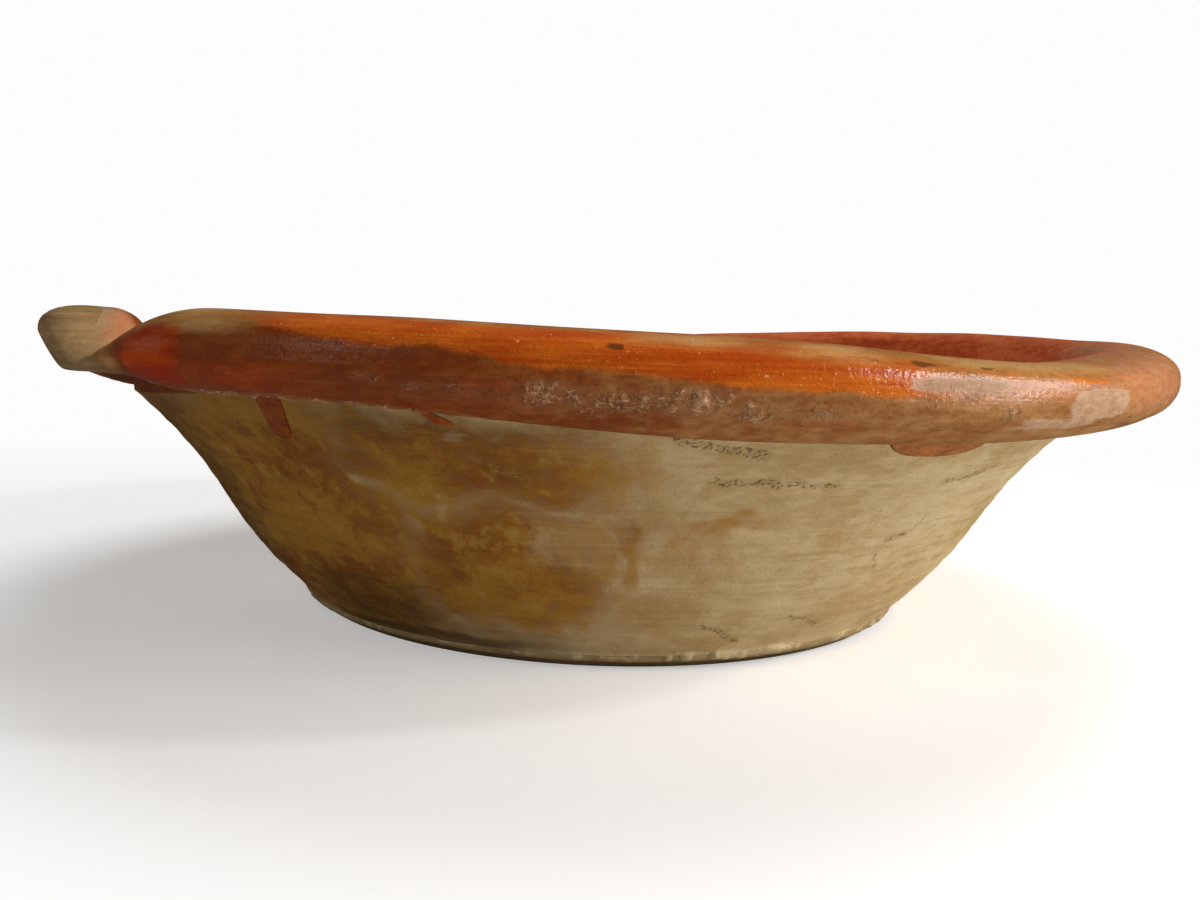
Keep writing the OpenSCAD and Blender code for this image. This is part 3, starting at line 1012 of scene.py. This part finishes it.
def coat(name, first, last, count):
    """A stretch of the coat: the rim's surface lifted by the glaze, thinned at the hem, and its back."""
    bearing = columns(count, first, last)
    end = hem_station(bearing)
    station = coat_shares * end
    angle = angle_at(station)
    taper = ease((end - station) / hem_taper)
    thick = glaze_t * taper * (1 + pool_swell * blots(bearing, angle, pools)) - hem_sink * (1 - taper)
    bumps = crust_height(station, bearing)
    front = rim_surface(station, bearing, bumps + thick)
    back_station = station[-2::-5]
    back = rim_surface(back_station, bearing, crust_height(back_station, bearing) - 2 * hem_sink)
    place = crusted(station, bearing)[1]
    wander_b = bearing + 0.7 * grain(place, 9.0, 43) + 0.3 * grain(place, 3.5, 44)
    wander_a = angle + 3.0 * grain(place, 8.0, 45) + 1.6 * grain(place, 3.0, 46)
    kept = 1 - band_lost * between(bearing % 360, band_whole, band_worn)
    bright = ease((wander_a - listed(bearing, border)) / border_soft + 0.5) * kept
    wiped = swell(turned(bearing, 0) / wipe_angle) * (1 - ease((end - station) / wipe_reach))
    aside = abs(turned(bearing, 0))
    inner_from = inner_angle - inner_lower * between(aside, inner_near, inner_far)
    inner = ease((angle - inner_from) / inner_soft) * between(aside, lip_orange, lip_inner)
    hidden = np.zeros(back.shape[:2])
    marks = {
        "band": np.maximum(bright, blots(wander_b, wander_a, brights_and_highlight)),
        "pool": blots(wander_b, wander_a, pools),
        "rub": blots(wander_b, wander_a, rubs),
        "wiped": wiped,
        "inner": inner,
        "sheen_and_pale_glaze": blots(wander_b, wander_a, sheens_and_pale_glaze),
        "smudge": blots(wander_b, wander_a, smudges),
        "ochre": blots(wander_b, wander_a, ochres),
        "pale": np.broadcast_to(pallor(bearing), angle.shape),
        "crusty": crusted(station, bearing)[0],
        "lumpy": np.clip(bumps, 0, 1),
    }
    marks = {mark: np.concatenate([values, hidden]) for mark, values in marks.items()}
    return skin(name, np.concatenate([front, back]), marks, orange_glaze, ring=False)


collar_coat = coat("collar_glaze_coat", lip_half, 360 - lip_half, collar_columns)
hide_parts("collar_glaze")
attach(collar_coat, "root")


# Lip glaze
# The same coat carried on through the throats and over the tongue's inner side, where it stops on the
# crest and leaves the lip's outer end bare.

lip_coat = coat("lip_glaze_coat", -lip_half, lip_half, lip_columns)
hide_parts("lip_glaze")
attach(lip_coat, "root")


# Glaze runs
# Glaze that ran off the collar and set on the bare wall: one long drip, one small tear and one broad
# thin apron.

run_gap = 0.1
run_start = 1.0
run_rows = 40
run_columns = 25
# the last of the drop, as a share, over which a run thins out
run_tip = 0.2
run_pallor = 0.7
# bearing at the collar, at the tip, drop, width at the collar, low down, thickness, power that rounds
# the tip, how far it is bright
runs = [
    (29.3, 27.6, 13.0, 10.5, 7.5, 0.7, 12, 0.3),
    (43.2, 45.6, 5.2, 1.0, 10.0, 0.4, 3, 0.4),
    (87.5, 88.2, 6.0, 46.0, 30.0, 0.12, 6, 0.34),
]


def run_sheet(start, tip, drop, top_w, low_w, thick, power):
    """One run as a closed grid: rows down its drop, columns across its rounded front and flat back."""
    v = np.linspace(0, 1, run_rows)[:, None]
    across = np.linspace(-1, 1, run_columns)
    x = np.concatenate([across, across[-2:0:-1]])
    front = np.arange(len(x)) < run_columns
    width = (top_w + (low_w - top_w) * v) * np.sqrt(np.maximum(0, 1 - v**power))
    height = seat_z + run_start - (drop + run_start) * v
    lift = run_gap + front * thick * np.sqrt(np.maximum(0, 1 - x**4)) * ease((1 - v) / run_tip)
    radius = wall_face(np.minimum(height, seat_z)) + lift
    turn = start + (tip - start) * ease(v) + np.degrees(x * width / 2 / radius)
    return settle(radius, turn, height)


run_grids = [run_sheet(*run[:-1]) for run in runs]
run_points = np.concatenate([grid.reshape(-1, 3) for grid in run_grids])
run_faces = []
for number, grid in enumerate(run_grids):
    rows, count = grid.shape[:2]
    index = np.arange(rows * count).reshape(rows, count) + number * rows * count
    index = np.hstack([index, index[:, :1]])
    quads = np.stack([index[:-1, :-1], index[1:, :-1], index[1:, 1:], index[:-1, 1:]], -1)
    run_faces += quads.reshape(-1, 4).tolist()
    run_faces += [index[0, :-1].tolist(), index[-1, -2::-1].tolist()]
run_mesh = bpy.data.meshes.new("glaze_runs_set")
run_mesh.from_pydata(run_points.tolist(), [], run_faces)
run_mesh.shade_smooth()
run_band = np.repeat([run[-1] for run in runs], rows * count).astype(np.float32)
run_mesh.attributes.new("band", "FLOAT", "POINT").data.foreach_set("value", run_band)
run_pale = np.repeat([run_pallor * pallor(run[0]) for run in runs], rows * count).astype(np.float32)
run_mesh.attributes.new("pale", "FLOAT", "POINT").data.foreach_set("value", run_pale)
run_mesh.materials.append(orange_glaze)
glaze_runs = bpy.data.objects.new("glaze_runs_set", run_mesh)
bpy.context.scene.collection.objects.link(glaze_runs)
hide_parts("glaze_runs")
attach(glaze_runs, "root")


# Studio
# A pale floor, soft light from the right and above, a weak fill from the left, four small gleams for
# the glaze's highlights, and a camera held low and close, as the photograph was taken.

camera_bearing = 58.0
camera_away = 422.8
camera_aside = -1.55
camera_z = 102.1
camera_pitch = 5.89
camera_roll = 2.1
image_wide = 1200
focal_pixels = 932.3

to_camera = Matrix.Rotation(np.radians(camera_bearing - 90), 4, "Z")
camera_data = bpy.data.cameras.new("studio_camera")
camera_data.sensor_width = 36.0
camera_data.lens = focal_pixels * camera_data.sensor_width / image_wide
camera_data.clip_start = 0.01
camera = bpy.data.objects.new("studio_camera", camera_data)
bpy.context.scene.collection.objects.link(camera)
camera.matrix_world = (
    to_camera
    @ Matrix.Translation((camera_aside * mm, -camera_away * mm, camera_z * mm))
    @ Matrix.Rotation(np.radians(90 - camera_pitch), 4, "X")
    @ Matrix.Rotation(np.radians(camera_roll), 4, "Z")
)
bpy.context.scene.camera = camera

# the floor fades out round the bowl into the white of the backdrop, glows a little to the eye, and
# leaves no mirror image in the glaze
floor_half = 3.0
floor_near = 0.2
floor_far = 0.8
floor_glow = 0.35
floor_bounce = 0.2
floor_mesh = bpy.data.meshes.new("studio_floor")
corners = [(-1, -1), (1, -1), (1, 1), (-1, 1)]
floor_mesh.from_pydata([(x * floor_half, y * floor_half, 0) for x, y in corners], [], [(0, 1, 2, 3)])
floor_material, floor_shader, floor_place = finish("pale_floor")
floor_away = floor_place.node("VectorMath", {"operation": "LENGTH"}, {0: floor_place}, "Value")
floor_place.feed(floor_shader.inputs["Alpha"], 1 - floor_away.step(floor_near, floor_far))
floor_shader.inputs["Base Color"].default_value = paint("EFEEEC")
floor_shader.inputs["Roughness"].default_value = 0.9
floor_eye = floor_place.node("LightPath", {}, {}, "Is Camera Ray")
floor_place.feed(floor_shader.inputs["Emission Color"], floor_eye * (1 - floor_bounce) + floor_bounce)
floor_shader.inputs["Emission Strength"].default_value = floor_glow
floor_mesh.materials.append(floor_material)
floor = bpy.data.objects.new("studio_floor", floor_mesh)
bpy.context.scene.collection.objects.link(floor)
floor.visible_glossy = False

# softboxes: place aside, away and up as the camera sees it, and size, in metres, then watts, and
# whether the glaze mirrors it; the low gleam stands below the table, out where the floor has faded
softboxes = {
    "key_light": (1.25, -0.45, 0.5, 0.9, 15.5, True),
    "top_light": (0.3, 0.5, 1.6, 1.2, 17.0, False),
    "left_fill": (-0.92, -0.85, 0.65, 0.3, 1.6, False),
    "left_gleam": (-0.92, -0.85, 0.65, 0.05, 1.1, True),
    "pool_gleam": (-1.3, -0.1, 0.3, 0.04, 0.08, True),
    "high_gleam": (1.04, -0.4, 0.83, 0.08, 3.4, True),
    "low_gleam": (1.03, -0.5, -0.05, 0.08, 2.2, True),
}
aim_z = 0.05


def soft_light(name, aside, away, height, size, power, mirrored):
    """A square softbox at a place seen from the camera, in metres, facing the bowl's middle."""
    light = bpy.data.lights.new(name, "AREA")
    light.size = size
    light.energy = power
    lamp = bpy.data.objects.new(name, light)
    bpy.context.scene.collection.objects.link(lamp)
    lamp.visible_glossy = mirrored
    place = to_camera @ Matrix.Translation((aside, away, height))
    aim = place.translation - Matrix.Translation((0, 0, aim_z)).translation
    facing = aim.to_track_quat("Z", "Y").to_matrix().to_4x4()
    lamp.matrix_world = Matrix.Translation(place.translation) @ facing


for box_name, box in softboxes.items():
    soft_light(box_name, *box)

# the backdrop is white to the eye, and lights the bowl less than it shows
sky_shown = 0.93
sky_light = 0.05
world = bpy.data.worlds.new("studio_world")
world.use_nodes = True
sky = world.node_tree.nodes["Background"]
seen = Field(world.node_tree).node("LightPath", {}, {}, "Is Camera Ray")
seen.feed(sky.inputs["Strength"], seen * sky_shown + sky_light)
sky.inputs["Color"].default_value = (1.0, 1.0, 1.0, 1.0)
bpy.context.scene.world = world
bpy.context.scene.view_settings.view_transform = "Standard"
